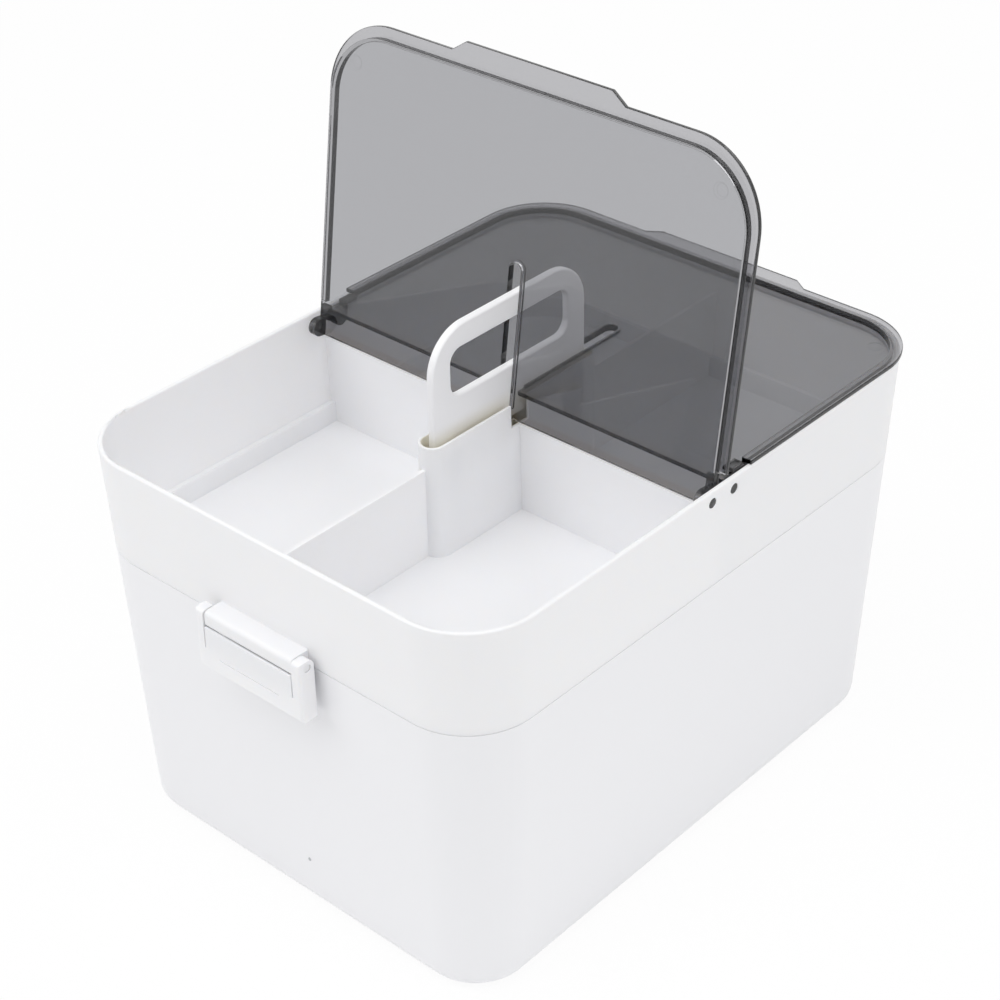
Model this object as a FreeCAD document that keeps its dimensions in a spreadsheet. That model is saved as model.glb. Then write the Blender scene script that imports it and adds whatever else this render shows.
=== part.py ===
"""Two-tier medicine box: bin, tray, two dished lids, sliding handle and two latches."""

import FreeCAD, Part
import math
import os
import Sketcher

# Driving dimensions in millimetres and degrees
SIZES = {
    "rim_width": 220.0,
    "rim_depth": 287.0,
    "box_height": 182.6,
    "draft_inset": 8.3,
    "rim_corner": 33.0,
    "base_round": 8.6,
    "wall": 2.2,
    "bin_floor": 2.4,
    "seam_height": 134.8,
    "seam_gap": 0.2,
    "nest_gap": 0.3,
    "nest_wall": 2.0,
    "ledge_rise": 2.2,
    "tray_sink": 7.5,
    "tray_floor": 2.2,
    "rim_round": 0.9,
    "partition_drop": 13.9,
    "partition": 2.0,
    "column_foot": 14.0,
    "column_head": 12.0,
    "column_length": 104.0,
    "column_drop": 3.3,
    "column_notch": 11.4,
    "column_wall": 1.2,
    "pin_offset": 6.8,
    "pin_drop": 5.6,
    "pin_radius": 2.2,
    "running_gap": 0.08,
    "lid_overhang": 1.4,
    "lid_flange": 3.2,
    "lid_corner": 32.4,
    "lid_plate": 2.0,
    "lid_lift": 0.2,
    "lid_recess": 2.9,
    "lid_step": 1.5,
    "lid_tail": 4.3,
    "lid_notch": 17.0,
    "lid_open_angle": 98.0,
    "lid_edge": 0.5,
    "ear_width": 3.6,
    "ear_radius": 4.0,
    "axle_gap": 0.15,
    "collar_wall": 1.0,
    "collar_rise": 1.2,
    "collar_start": 6.3,
    "slot_gap": 1.3,
    "slot_reach": 69.3,
    "tab_foot": 88.0,
    "tab_head": 74.0,
    "tab_reach": 4.7,
    "handle_thick": 3.6,
    "handle_length": 93.8,
    "handle_height": 56.5,
    "handle_rise": 43.9,
    "handle_corner": 20.0,
    "handle_round": 1.0,
    "grip_length": 72.0,
    "grip_height": 21.0,
    "grip_corner": 6.0,
    "grip_rail": 10.5,
    "lug_length": 6.0,
    "lug_height": 3.2,
    "lug_inset": 4.0,
    "lug_lift": 1.0,
    "lug_reach": 5.1,
    "slide_gap": 0.3,
    "guide_rib": 2.0,
    "latch_width": 58.0,
    "latch_plate": 2.4,
    "latch_lip": 1.2,
    "latch_ear": 4.6,
    "latch_standoff": 10.0,
    "latch_foot_drop": 19.8,
    "latch_pin_rise": 4.6,
    "latch_pin_offset": 5.6,
    "latch_pin": 1.6,
    "latch_ear_radius": 3.3,
    "latch_slot": 0.5,
    "latch_slot_depth": 10.0,
    "latch_round": 1.8,
    "latch_crease_drop": 11.9,
    "latch_crease_width": 33.0,
    "latch_crease_size": 0.5,
    "block_lift": 1.0,
    "block_gap": 0.4,
    "block_wall": 1.8,
    "block_rise": 7.9,
    "stub_inset": 0.4,
    "block_round": 2.0,
    "block_relief": 0.9,
    "catch_width": 40.0,
    "catch_drop": 7.6,
    "catch_height": 2.6,
    "catch_reach": 3.0,
    "hook_gap": 0.4,
    "hook_height": 2.6,
    "seat": 0.5,
    "cut_past": 1.0,
}


class Term:
    """A size and the sheet formula that gives it, so that both stay the same."""

    def __init__(self, value, text):
        self.value = float(value)
        self.text = text

    def _join(self, other, sign, value):
        other = other if isinstance(other, Term) else Term(other, repr(float(other)))
        return Term(value(self.value, other.value), f"({self.text} {sign} {other.text})")

    def __add__(self, other):
        return self._join(other, "+", lambda a, b: a + b)

    def __sub__(self, other):
        return self._join(other, "-", lambda a, b: a - b)

    def __mul__(self, other):
        return self._join(other, "*", lambda a, b: a * b)

    def __truediv__(self, other):
        return self._join(other, "/", lambda a, b: a / b)

    def __neg__(self):
        return Term(-self.value, f"(0 - {self.text})")


def make_sheet(doc):
    """Write the driving dimensions into the sheet and return them as terms."""
    sheet = doc.addObject("Spreadsheet::Sheet", "Sizes")
    for row, (name, value) in enumerate(SIZES.items(), start=1):
        sheet.set(f"A{row}", name)
        sheet.set(f"B{row}", str(value))
        sheet.setAlias(f"B{row}", name)
    doc.recompute()
    return {name: Term(sheet.get(name), f"Sizes.{name}") for name in SIZES}


ZERO = Term(0.0, "0")
doc = FreeCAD.newDocument("medicine_box")
S = make_sheet(doc)

# Heights that follow the seam or the rim
LEDGE = S["seam_height"] + S["ledge_rise"]
TRAY_FLOOR = S["seam_height"] - S["tray_sink"]
CATCH = S["seam_height"] - S["catch_drop"]
LATCH_PIN = S["seam_height"] + S["latch_pin_rise"]
BLOCK_FOOT = S["seam_height"] + S["seam_gap"] + S["block_lift"]
PARTITION = S["box_height"] - S["partition_drop"]
COLUMN = S["box_height"] - S["column_drop"]
SEAT, PAST = S["seat"], S["cut_past"]


def tie(item, prop, term):
    """Bind one property of an object to a term."""
    item.setExpression(prop, term.text)


def plane(body, role):
    """Find an origin plane of a body by its role."""
    return next(f for f in body.Origin.OriginFeatures if f.Role == role)


def new_body(name):
    """Start a named body."""
    body = doc.addObject("PartDesign::Body", name)
    body.Label = name
    return body


def new_sketch(body, name, role="XY_Plane", height=ZERO):
    """Attach a sketch to an origin plane of its body, raised along the plane's normal."""
    sketch = body.newObject("Sketcher::SketchObject", name)
    sketch.AttachmentSupport = [(plane(body, role), "")]
    sketch.MapMode = "FlatFace"
    sketch.AttachmentOffset = FreeCAD.Placement(
        FreeCAD.Vector(0, 0, height.value), FreeCAD.Rotation()
    )
    tie(sketch, "AttachmentOffset.Base.z", height)
    return sketch


def distance(sketch, kind, geometry, point, term, name):
    """Hold one sketch point at a signed distance from the sketch origin."""
    size = term.value
    if size < 0:
        index = sketch.addConstraint(
            Sketcher.Constraint(kind, geometry, point, -1, 1, -size)
        )
        term = -term
    else:
        index = sketch.addConstraint(
            Sketcher.Constraint(kind, -1, 1, geometry, point, size)
        )
    sketch.renameConstraint(index, name)
    tie(sketch, f"Constraints.{name}", term)


def outline(sketch, left, right, low, high, corners):
    """Draw a box outline whose four corners, from low right round, may be rounded."""
    x0, x1, y0, y1 = left.value, right.value, low.value, high.value
    spots = [(x1, y0, -1, 1), (x1, y1, -1, -1), (x0, y1, 1, -1), (x0, y0, 1, 1)]
    radii = [c.value if c else 0.0 for c in corners]
    ends = []
    for (x, y, sx, sy), r in zip(spots, radii):
        ends.append(((x + sx * r, y), (x, y + sy * r)))
    # Each corner is entered and left in turning order
    order = [ends[0], ends[1][::-1], ends[2], ends[3][::-1]]
    lines = []
    for i in range(4):
        a, b = order[i][1], order[(i + 1) % 4][0]
        edge = Part.LineSegment(FreeCAD.Vector(*a, 0), FreeCAD.Vector(*b, 0))
        lines.append(sketch.addGeometry(edge, False))
    for i, line in enumerate(lines):
        kind = "Vertical" if i % 2 == 0 else "Horizontal"
        sketch.addConstraint(Sketcher.Constraint(kind, line))
    for i, (x, y, sx, sy) in enumerate(spots):
        before, after = lines[i - 1], lines[i]
        if not radii[i]:
            sketch.addConstraint(Sketcher.Constraint("Coincident", before, 2, after, 1))
            continue
        r = radii[i]
        centre = FreeCAD.Vector(x + sx * r, y + sy * r, 0)
        start = [-0.5, 0.0, 0.5, 1.0][i] * math.pi
        arc = Part.ArcOfCircle(
            Part.Circle(centre, FreeCAD.Vector(0, 0, 1), r), start, start + math.pi / 2
        )
        arc = sketch.addGeometry(arc, False)
        sketch.addConstraint(Sketcher.Constraint("Tangent", before, 2, arc, 1))
        sketch.addConstraint(Sketcher.Constraint("Tangent", arc, 2, after, 1))
        index = sketch.addConstraint(Sketcher.Constraint("Radius", arc, r))
        sketch.renameConstraint(index, f"corner{i}")
        tie(sketch, f"Constraints.corner{i}", corners[i])
    distance(sketch, "DistanceX", lines[0], 1, right, "right")
    distance(sketch, "DistanceX", lines[2], 1, left, "left")
    distance(sketch, "DistanceY", lines[1], 1, high, "high")
    distance(sketch, "DistanceY", lines[3], 1, low, "low")


def stadium(sketch, half_width, half_length):
    """Draw a slot outline along Y with round ends."""
    w, l = half_width.value, half_length.value
    top, bottom = FreeCAD.Vector(0, l - w, 0), FreeCAD.Vector(0, w - l, 0)
    up = FreeCAD.Vector(0, 0, 1)
    right = Part.LineSegment(FreeCAD.Vector(w, w - l, 0), FreeCAD.Vector(w, l - w, 0))
    left = Part.LineSegment(FreeCAD.Vector(-w, l - w, 0), FreeCAD.Vector(-w, w - l, 0))
    pieces = [right, Part.ArcOfCircle(Part.Circle(top, up, w), 0, math.pi)]
    pieces += [left, Part.ArcOfCircle(Part.Circle(bottom, up, w), math.pi, 2 * math.pi)]
    ids = [sketch.addGeometry(p, False) for p in pieces]
    for i, item in enumerate(ids):
        after = ids[(i + 1) % 4]
        sketch.addConstraint(Sketcher.Constraint("Tangent", item, 2, after, 1))
    sketch.addConstraint(Sketcher.Constraint("Vertical", ids[0]))
    sketch.addConstraint(Sketcher.Constraint("Symmetric", ids[1], 3, ids[3], 3, -1, 1))
    index = sketch.addConstraint(Sketcher.Constraint("Radius", ids[1], w))
    sketch.renameConstraint(index, "half_width")
    tie(sketch, "Constraints.half_width", half_width)
    distance(sketch, "DistanceY", ids[1], 3, half_length - half_width, "centre")


def loft(body, name, low, high):
    """Join two sketches with straight sides."""
    item = body.newObject("PartDesign::AdditiveLoft", name)
    item.Profile = low
    item.Sections = [high]
    item.Ruled = True
    doc.recompute()
    return item


def pad(body, name, sketch, length, midplane=False, down=False):
    """Pad a sketch along its normal, or downwards, or evenly to both sides."""
    item = body.newObject("PartDesign::Pad", name)
    item.Profile = sketch
    item.Length = length.value
    tie(item, "Length", length)
    item.Reversed = down
    if midplane:
        item.SideType = "Symmetric"
    doc.recompute()
    return item


def pocket(body, name, sketch, length, midplane=False):
    """Cut a sketch downwards, against its normal."""
    item = body.newObject("PartDesign::Pocket", name)
    item.Profile = sketch
    item.Length = length.value
    tie(item, "Length", length)
    if midplane:
        item.SideType = "Symmetric"
    doc.recompute()
    return item


def box(body, name, low, high, cut=False):
    """Add or cut a box between two corners given as terms."""
    kind = "PartDesign::SubtractiveBox" if cut else "PartDesign::AdditiveBox"
    item = body.newObject(kind, name)
    for axis, side, a, b in zip("xyz", ("Length", "Width", "Height"), low, high):
        size = b - a
        setattr(item, side, size.value)
        tie(item, side, size)
        tie(item, f"Placement.Base.{axis}", a)
    doc.recompute()
    return item


def rod(body, name, start, end, y, z, radius, cut=False):
    """Add or cut a round bar along X."""
    kind = "PartDesign::SubtractiveCylinder" if cut else "PartDesign::AdditiveCylinder"
    item = body.newObject(kind, name)
    item.Placement = FreeCAD.Placement(
        FreeCAD.Vector(start.value, y.value, z.value),
        FreeCAD.Rotation(FreeCAD.Vector(0, 1, 0), 90),
    )
    length = end - start
    item.Radius, item.Height = radius.value, length.value
    tie(item, "Radius", radius)
    tie(item, "Height", length)
    for axis, term in zip("xyz", (start, y, z)):
        tie(item, f"Placement.Base.{axis}", term)
    doc.recompute()
    return item


def fillet(body, name, radius, wanted):
    """Round the edges of the body's tip that pass a test on their bounding box."""
    base = body.Tip
    names = [
        f"Edge{i}" for i, edge in enumerate(base.Shape.Edges, start=1) if wanted(edge.BoundBox)
    ]
    item = body.newObject("PartDesign::Fillet", name)
    item.Base = (base, names)
    item.Radius = radius.value
    tie(item, "Radius", radius)
    doc.recompute()
    return item


def near(a, b, gap=0.02):
    """Say whether two lengths agree."""
    return abs(a - b) < gap


# Outer form of the box at any height
def half_x(z):
    """Half of the outer width at height z."""
    return S["rim_width"] / 2 - S["draft_inset"] * (S["box_height"] - z) / S["box_height"]


def half_y(z):
    """Half of the outer depth at height z."""
    return S["rim_depth"] / 2 - S["draft_inset"] * (S["box_height"] - z) / S["box_height"]


def corner(z):
    """Outer corner radius at height z."""
    return S["rim_corner"] - S["draft_inset"] * (S["box_height"] - z) / S["box_height"]


def section(body, name, low, high, inset, cut=False):
    """Pad or pocket the box section at a height straight down to a lower one."""
    x, y, r = half_x(high) - inset, half_y(high) - inset, corner(high) - inset
    sketch = new_sketch(body, f"{name}_sketch", height=high)
    outline(sketch, -x, x, -y, y, (r, r, r, r))
    if cut:
        return pocket(body, name, sketch, high - low)
    return pad(body, name, sketch, high - low, down=True)


def lean(body, name, low, high, inner):
    """Give the inner or outer side faces between two heights the draft of the box."""
    base = body.Tip
    neutral = body.newObject("PartDesign::Plane", f"{name}_level")
    neutral.AttachmentSupport = [(plane(body, "XY_Plane"), "")]
    neutral.MapMode = "FlatFace"
    tie(neutral, "AttachmentOffset.Base.z", high)
    doc.recompute()
    sides = [
        f"Face{i}" for i, face in enumerate(base.Shape.Faces, start=1)
        if near(face.BoundBox.ZMin, low.value) and near(face.BoundBox.ZMax, high.value)
    ]
    item = body.newObject("PartDesign::Draft", name)
    item.Base = (base, sides)
    item.NeutralPlane = (neutral, "")
    item.Reversed = not inner
    tie(item, "Angle", Term(draft_angle(), DRAFT_TEXT))
    doc.recompute()
    if len(sides) != 8 or (item.Shape.Volume > base.Shape.Volume) != inner:
        raise RuntimeError(f"{name}: the draft leans the wrong way")
    return item


DRAFT_TEXT = "atan(Sizes.draft_inset / Sizes.box_height)"


def draft_angle():
    """Draft of the walls in degrees."""
    return math.degrees(math.atan(S["draft_inset"].value / S["box_height"].value))


def make_bin():
    """Lower tier: drafted bin with a catch rib front and rear."""
    body = new_body("lower_bin")
    floor, seam, wall = S["bin_floor"], S["seam_height"], S["wall"]
    section(body, "bin_form", ZERO, seam, ZERO)
    section(body, "bin_hollow", floor, seam, wall, cut=True)
    lean(body, "hollow_draft", floor, seam, inner=True)
    lean(body, "form_draft", ZERO, seam, inner=False)
    fillet(body, "base_edge", S["base_round"], lambda b: near(b.ZMax, 0))
    level = floor.value
    fillet(
        body, "floor_edge", S["base_round"] - wall,
        lambda b: near(b.ZMin, level) and near(b.ZMax, level),
    )
    low = CATCH - S["catch_height"]
    face = half_y(low)
    reach, half = face + S["catch_reach"], S["catch_width"] / 2
    inner = face - wall / 2
    box(body, "front_catch", (-half, -reach, low), (half, -inner, CATCH))
    box(body, "rear_catch", (-half, inner, low), (half, reach, CATCH))
    return body


def add_partitions(body):
    """Mid wall along X and divider along Y, each seated in both tiers of the wall."""
    half, low = S["partition"] / 2, TRAY_FLOOR - S["tray_floor"] / 2
    nest = S["wall"] + S["nest_gap"] + S["nest_wall"] / 2
    for name, side, across in (("mid_wall", half_x, False), ("divider", half_y, True)):
        upper = side(PARTITION) - S["wall"] * 0.9
        lower = side(low) - nest
        for tier, reach, z0, z1 in (
            ("low", lower, low, LEDGE), ("high", upper, LEDGE - SEAT, PARTITION),
        ):
            a, b = (-reach, -half), (reach, half)
            if across:
                a, b = a[::-1], b[::-1]
            box(body, f"{name}_{tier}", (*a, z0), (*b, z1))


def add_column(body):
    """Round-ended column with the slot, stops and guides of the carry handle."""
    floor, top = TRAY_FLOOR, COLUMN
    foot = new_sketch(body, "column_foot_sketch", height=floor - S["tray_floor"] / 2)
    stadium(foot, S["column_foot"] / 2, S["column_length"] / 2)
    head = new_sketch(body, "column_head_sketch", height=top)
    stadium(head, S["column_head"] / 2, S["column_length"] / 2)
    loft(body, "column_form", foot, head)
    half, length = slot_half(), S["column_length"] / 2 - S["column_wall"]
    mouth = new_sketch(body, "column_slot_sketch", height=top)
    stadium(mouth, half, length)
    pocket(body, "column_slot", mouth, top - floor)
    reach, notch = S["column_foot"], S["column_notch"] / 2
    box(body, "column_gap", (-reach, -notch, PARTITION), (reach, notch, top + PAST), cut=True)
    gap = S["slide_gap"]
    stop = handle_foot() + S["lug_lift"] + S["lug_height"] + gap
    outer = S["handle_length"] / 2 - S["lug_inset"] + gap
    inner = outer - S["lug_length"] - gap * 2
    width = S["lug_reach"] + gap
    for side, y0, y1 in (("front", -outer, -inner), ("rear", inner, outer)):
        box(body, f"{side}_guide", (-width, y0, floor), (width, y1, stop), cut=True)
    rib, thick = S["handle_thick"] / 2 + gap, S["guide_rib"]
    root = half + S["column_wall"] / 5
    for side, x0, x1 in (("left", -root, -rib), ("right", rib, root)):
        for end, y in (("front", -inner / 2), ("rear", inner / 2)):
            low, high = y - thick / 2, y + thick / 2
            box(body, f"{side}_{end}_rib", (x0, low, floor - SEAT), (x1, high, stop))


def slot_half():
    """Half width of the column slot."""
    return S["column_head"] / 2 - S["column_wall"]


def handle_foot():
    """Height of the raised handle's lower edge."""
    return S["box_height"] + S["handle_rise"] - S["handle_height"]


def add_pivot_blocks(body):
    """Latch pivot block on the front and rear walls, open below, with a stub at each end."""
    low, top = BLOCK_FOOT, S["seam_height"] + S["block_rise"]
    half = S["latch_width"] / 2 - S["latch_ear"] - S["latch_slot"]
    face = half_y(low)
    reach = face + S["latch_standoff"] - S["block_gap"]
    root = face - S["wall"] / 2
    skin = S["block_wall"]
    y, z = half_y(LATCH_PIN) + S["latch_pin_offset"], LATCH_PIN
    end = S["latch_width"] / 2 - S["stub_inset"]
    for side, sign in (("front", -1), ("rear", 1)):
        outer = [(-half, root, low), (half, reach, top)]
        inner = [(-half + skin, face + skin, low - PAST), (half - skin, reach - skin, top - skin)]
        box(body, f"{side}_block", *turned(outer, sign))
        box(body, f"{side}_block_hollow", *turned(inner, sign), cut=True)
        fillet(body, f"{side}_block_round", S["block_round"], edge_at(reach * sign, top))
        fillet(body, f"{side}_block_relief", S["block_relief"], edge_at(reach * sign, low))
        rod(body, f"{side}_left_stub", -end, -half + skin / 2, y * sign, z, S["latch_pin"])
        rod(body, f"{side}_right_stub", half - skin / 2, end, y * sign, z, S["latch_pin"])


def edge_at(y, z):
    """Make a test for edges along X at one depth and height."""
    return lambda b: near(b.YMin, y.value) and near(b.YMax, y.value) and (
        near(b.ZMin, z.value) and near(b.ZMax, z.value)
    )


def turned(corners, sign):
    """Mirror a pair of box corners to the front (negative) or rear side."""
    (x0, y0, z0), (x1, y1, z1) = corners
    if sign > 0:
        return (x0, y0, z0), (x1, y1, z1)
    return (x0, -y1, z0), (x1, -y0, z1)


def make_tray():
    """Upper tier, nested in the bin below its seam."""
    body = new_body("upper_tray")
    seam, top, wall = S["seam_height"] + S["seam_gap"], S["box_height"], S["wall"]
    nest, ledge, floor = wall + S["nest_gap"], LEDGE, TRAY_FLOOR
    section(body, "skirt_form", seam, top, ZERO)
    section(body, "nest_form", floor - S["tray_floor"], seam, nest)
    section(body, "skirt_hollow", ledge, top, wall, cut=True)
    section(body, "nest_hollow", floor, ledge, nest + S["nest_wall"], cut=True)
    lean(body, "skirt_hollow_draft", ledge, top, inner=True)
    lean(body, "skirt_draft", seam, top, inner=False)
    lean(body, "nest_hollow_draft", floor, ledge, inner=True)
    lean(body, "nest_draft", floor - S["tray_floor"], seam, inner=False)
    rim = top.value
    fillet(body, "rim_edge", S["rim_round"], lambda b: near(b.ZMin, rim) and near(b.ZMax, rim))
    add_partitions(body)
    add_column(body)
    add_pivot_blocks(body)
    bore = S["pin_radius"] + S["running_gap"]
    z = top - S["pin_drop"]
    inner, outer = half_x(z) - wall * 2, half_x(z) + PAST
    for name, y in (("front", -S["pin_offset"]), ("rear", S["pin_offset"])):
        rod(body, f"{name}_left_bore", -outer, -inner, y, z, bore, cut=True)
        rod(body, f"{name}_right_bore", inner, outer, y, z, bore, cut=True)
    return body


def lid_outline(body, name, z, inset, overhang, near_edge):
    """Sketch the lid plan, drawn in by an inset, up to its near edge."""
    sketch = new_sketch(body, name, height=z)
    x = S["rim_width"] / 2 - inset
    far = S["rim_depth"] / 2 + overhang - S["pin_offset"] - inset
    r = S["lid_corner"] - inset
    outline(sketch, -x, x, -far, near_edge, (r, None, None, r))
    return sketch


def make_lid(name):
    """Dished lid with its pin line on the local X axis, closed towards negative Y."""
    body = new_body(name)
    plate, flange = S["lid_plate"], S["lid_flange"]
    under = S["pin_drop"] + S["lid_lift"]
    top = under + plate
    deck = top - S["lid_recess"]
    notch = S["pin_offset"] - S["lid_notch"]
    tail = S["lid_tail"]
    rim = lid_outline(body, "rim_sketch", under, ZERO, S["lid_overhang"], notch)
    pad(body, "rim", rim, plate)
    dish = lid_outline(body, "dish_sketch", top, flange, ZERO, tail)
    pad(body, "dish", dish, top - deck + plate, down=True)
    recess = lid_outline(body, "recess_sketch", top, flange + S["lid_step"], ZERO, tail + PAST)
    pocket(body, "recess", recess, top - deck)
    wide = S["rim_width"] / 2
    box(body, "hinge_clearance", (-wide, notch, deck), (wide, tail + PAST, top + PAST), cut=True)
    add_tab(body, under, top)
    soften_lid(body, under, top, notch)
    add_collar(body, deck, tail)
    add_ears(body, deck, top)
    return body


def add_tab(body, under, top):
    """Finger tab on the far edge, narrowing outwards."""
    sketch = new_sketch(body, "tab_sketch", height=under)
    far = S["rim_depth"] / 2 + S["lid_overhang"] - S["pin_offset"]
    foot, head, reach = S["tab_foot"] / 2, S["tab_head"] / 2, S["tab_reach"]
    spots = [(-foot, SEAT - far), (-foot, -far), (-head, -far - reach)]
    spots += [(head, -far - reach), (foot, -far), (foot, SEAT - far)]
    points = [FreeCAD.Vector(x.value, y.value, 0) for x, y in spots]
    for i, start in enumerate(points):
        sketch.addGeometry(Part.LineSegment(start, points[(i + 1) % 6]), False)
    for i, (x, y) in enumerate(spots):
        sketch.addConstraint(Sketcher.Constraint("Coincident", i - 1 if i else 5, 2, i, 1))
        distance(sketch, "DistanceX", i, 1, x, f"x{i}")
        distance(sketch, "DistanceY", i, 1, y, f"y{i}")
    pad(body, "tab", sketch, top - under)


def soften_lid(body, under, top, notch):
    """Round both outer edges of the lid's rim and its tab."""
    side, levels, back = S["rim_width"].value / 2, (under.value, top.value), notch.value
    far = S["pin_offset"].value - S["rim_depth"].value / 2 - S["lid_overhang"].value

    def outside(b):
        level = near(b.ZMin, b.ZMax) and any(near(b.ZMin, z) for z in levels)
        at_side = near(max(-b.XMin, b.XMax), side) and not near(b.YMin, back)
        return level and (at_side or near(b.YMax, far) or b.YMax < far)

    fillet(body, "rim_edges", S["lid_edge"], outside)


def add_collar(body, deck, tail):
    """Raised collar round the slot that lets the carry handle through."""
    half = S["handle_thick"] / 2 + S["slot_gap"]
    skin = S["collar_wall"]
    end = S["slot_reach"] - S["pin_offset"]
    start = S["collar_start"] - S["pin_offset"]
    collar = new_sketch(body, "collar_sketch", height=deck - SEAT)
    x, r = half + skin, (half + skin) * 0.98
    outline(collar, -x, x, -end - skin, -start, (r, None, None, r))
    pad(body, "collar", collar, S["collar_rise"] + SEAT)
    slot = new_sketch(body, "slot_sketch", height=deck + S["collar_rise"])
    outline(slot, -half, half, -end, tail + PAST, (half * 0.97, None, None, half * 0.97))
    pocket(body, "slot", slot, S["collar_rise"] + S["lid_plate"] + PAST)


def add_ears(body, deck, top):
    """Hinge ears under the side edges, each with its stub axle."""
    outer = S["rim_width"] / 2 - S["lid_flange"]
    inner = outer - S["ear_width"]
    r = S["ear_radius"]
    end = half_x(S["box_height"] - S["pin_drop"]) - S["axle_gap"]
    for side, a, b, c in (("left", -outer, -inner, -end), ("right", inner, outer, end)):
        rod(body, f"{side}_knuckle", a, b, ZERO, ZERO, r)
        box(body, f"{side}_ear", (a, -r, ZERO), (b, r, deck - S["lid_plate"] / 2))
        low, high = (c, a + SEAT) if side == "left" else (b - SEAT, c)
        rod(body, f"{side}_axle", low, high, ZERO, ZERO, S["pin_radius"])


def place(body, y, z, angle, turn):
    """Place a body by its pin line, tipped about X and turned about Z."""
    spin = FreeCAD.Rotation(FreeCAD.Vector(0, 0, 1), turn)
    tip = FreeCAD.Rotation(FreeCAD.Vector(1, 0, 0), angle)
    body.Placement = FreeCAD.Placement(FreeCAD.Vector(0, y.value, z.value), spin * tip)
    tie(body, "Placement.Base.y", y)
    tie(body, "Placement.Base.z", z)


def make_handle():
    """Carry handle: a plate with a grip hole and stop lugs at its foot."""
    body = new_body("carry_handle")
    half, high = S["handle_length"] / 2, S["handle_height"]
    thick = S["handle_thick"]
    sketch = new_sketch(body, "plate_sketch", "YZ_Plane")
    r = S["handle_corner"]
    outline(sketch, -half, half, ZERO, high, (None, r, r, None))
    pad(body, "plate", sketch, thick, midplane=True)
    hole = new_sketch(body, "grip_sketch", "YZ_Plane")
    grip, c = S["grip_length"] / 2, S["grip_corner"]
    roof = high - S["grip_rail"]
    outline(hole, -grip, grip, roof - S["grip_height"], roof, (c, c, c, c))
    pocket(body, "grip_hole", hole, thick + PAST * 2, midplane=True)
    face = thick.value / 2
    fillet(
        body, "soft_edges", S["handle_round"],
        lambda b: near(abs(b.XMin), face) and near(b.XMin, b.XMax),
    )
    outer, low = half - S["lug_inset"], S["lug_lift"]
    for side, y0 in (("front", -outer), ("rear", outer - S["lug_length"])):
        a = (-S["lug_reach"], y0, low)
        b = (S["lug_reach"], y0 + S["lug_length"], low + S["lug_height"])
        box(body, f"{side}_lug", a, b)
    tie(body, "Placement.Base.z", handle_foot())
    return body


def make_latch(name):
    """Latch lever with its pin line on the local X axis and its wall side at positive Y."""
    body = new_body(name)
    pin, bottom = LATCH_PIN, S["seam_height"] - S["latch_foot_drop"]
    half, ear = S["latch_width"] / 2, S["latch_ear"]
    front = S["latch_pin_offset"] - S["latch_standoff"]
    back = front + S["latch_plate"]
    low = bottom - pin
    head = BLOCK_FOOT - S["block_gap"] - pin
    radius = S["latch_ear_radius"]
    box(body, "face", (-half, front, low), (half, back, head))
    lip, inside = front + S["latch_lip"], half - ear
    shoulder = CATCH + S["slide_gap"] - pin
    box(body, "lip", (-inside, lip, shoulder), (inside, back + PAST, head + PAST), cut=True)
    for side, a, b in (("left", -half, ear - half), ("right", half - ear, half)):
        box(body, f"{side}_arm", (a, front, low), (b, radius, ZERO))
        box(body, f"{side}_arm_front", (a, front, head - SEAT), (b, ZERO, radius))
        rod(body, f"{side}_arm_head", a, b, ZERO, ZERO, radius)
        rod(
            body, f"{side}_arm_bore", a - PAST, b + PAST, ZERO, ZERO,
            S["latch_pin"] + S["running_gap"], cut=True,
        )
    gap, depth = S["latch_slot"], S["latch_slot_depth"]
    for side, a in (("left", ear - half), ("right", half - ear - gap)):
        box(
            body, f"{side}_slot", (a, front - PAST, head - depth),
            (a + gap, radius + PAST, head + PAST), cut=True,
        )
    hook_top = CATCH - S["catch_height"] - S["hook_gap"] - pin
    grip = S["catch_width"] / 2
    wall_side = S["latch_pin_offset"] - S["hook_gap"] * 2
    box(body, "hook", (-grip, back - SEAT, hook_top - S["hook_height"]), (grip, wall_side, hook_top))
    soften(body, front, low, radius)
    line, size = S["seam_height"] - S["latch_crease_drop"] - pin, S["latch_crease_size"]
    wide = S["latch_crease_width"] / 2
    box(
        body, "crease", (-wide, front - PAST, line - size / 2),
        (wide, front + size, line + size / 2), cut=True,
    )
    return body


def soften(body, front, low, top):
    """Round the outer edges of a latch."""
    end, face, foot, head = S["latch_width"].value / 2, front.value, low.value, top.value

    def outside(b):
        on_face = near(b.YMin, face) and near(b.YMax, face)
        upright = near(b.XMin, b.XMax) and near(abs(b.XMin), end)
        level = near(b.ZMin, b.ZMax) and (near(b.ZMin, foot) or near(b.ZMin, head))
        return on_face and (upright or level)

    fillet(body, "outer_edges", S["latch_round"], outside)


def build():
    """Make every piece and put it in its place."""
    pieces = [make_bin(), make_tray()]
    front, rear = make_lid("front_lid"), make_lid("rear_lid")
    pin_z = S["box_height"] - S["pin_drop"]
    place(front, -S["pin_offset"], pin_z, -S["lid_open_angle"].value, 0)
    place(rear, S["pin_offset"], pin_z, 0, 180)
    pieces += [front, rear, make_handle()]
    latch_y = half_y(LATCH_PIN) + S["latch_pin_offset"]
    for name, sign, turn in (("front_latch", -1, 0), ("rear_latch", 1, 180)):
        latch = make_latch(name)
        place(latch, latch_y * sign, LATCH_PIN, 0, turn)
        pieces.append(latch)
    doc.recompute()
    return pieces


def check(pieces):
    """Stop if any feature or any finished piece is not sound."""
    for item in doc.Objects:
        if "Invalid" in item.State or "Error" in item.State:
            raise RuntimeError(f"{item.Name} failed: {item.State}")
    for piece in pieces:
        shape = piece.Shape
        if shape.isNull() or not shape.isValid() or len(shape.Solids) != 1:
            raise RuntimeError(f"{piece.Label} is not one valid solid")


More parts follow.
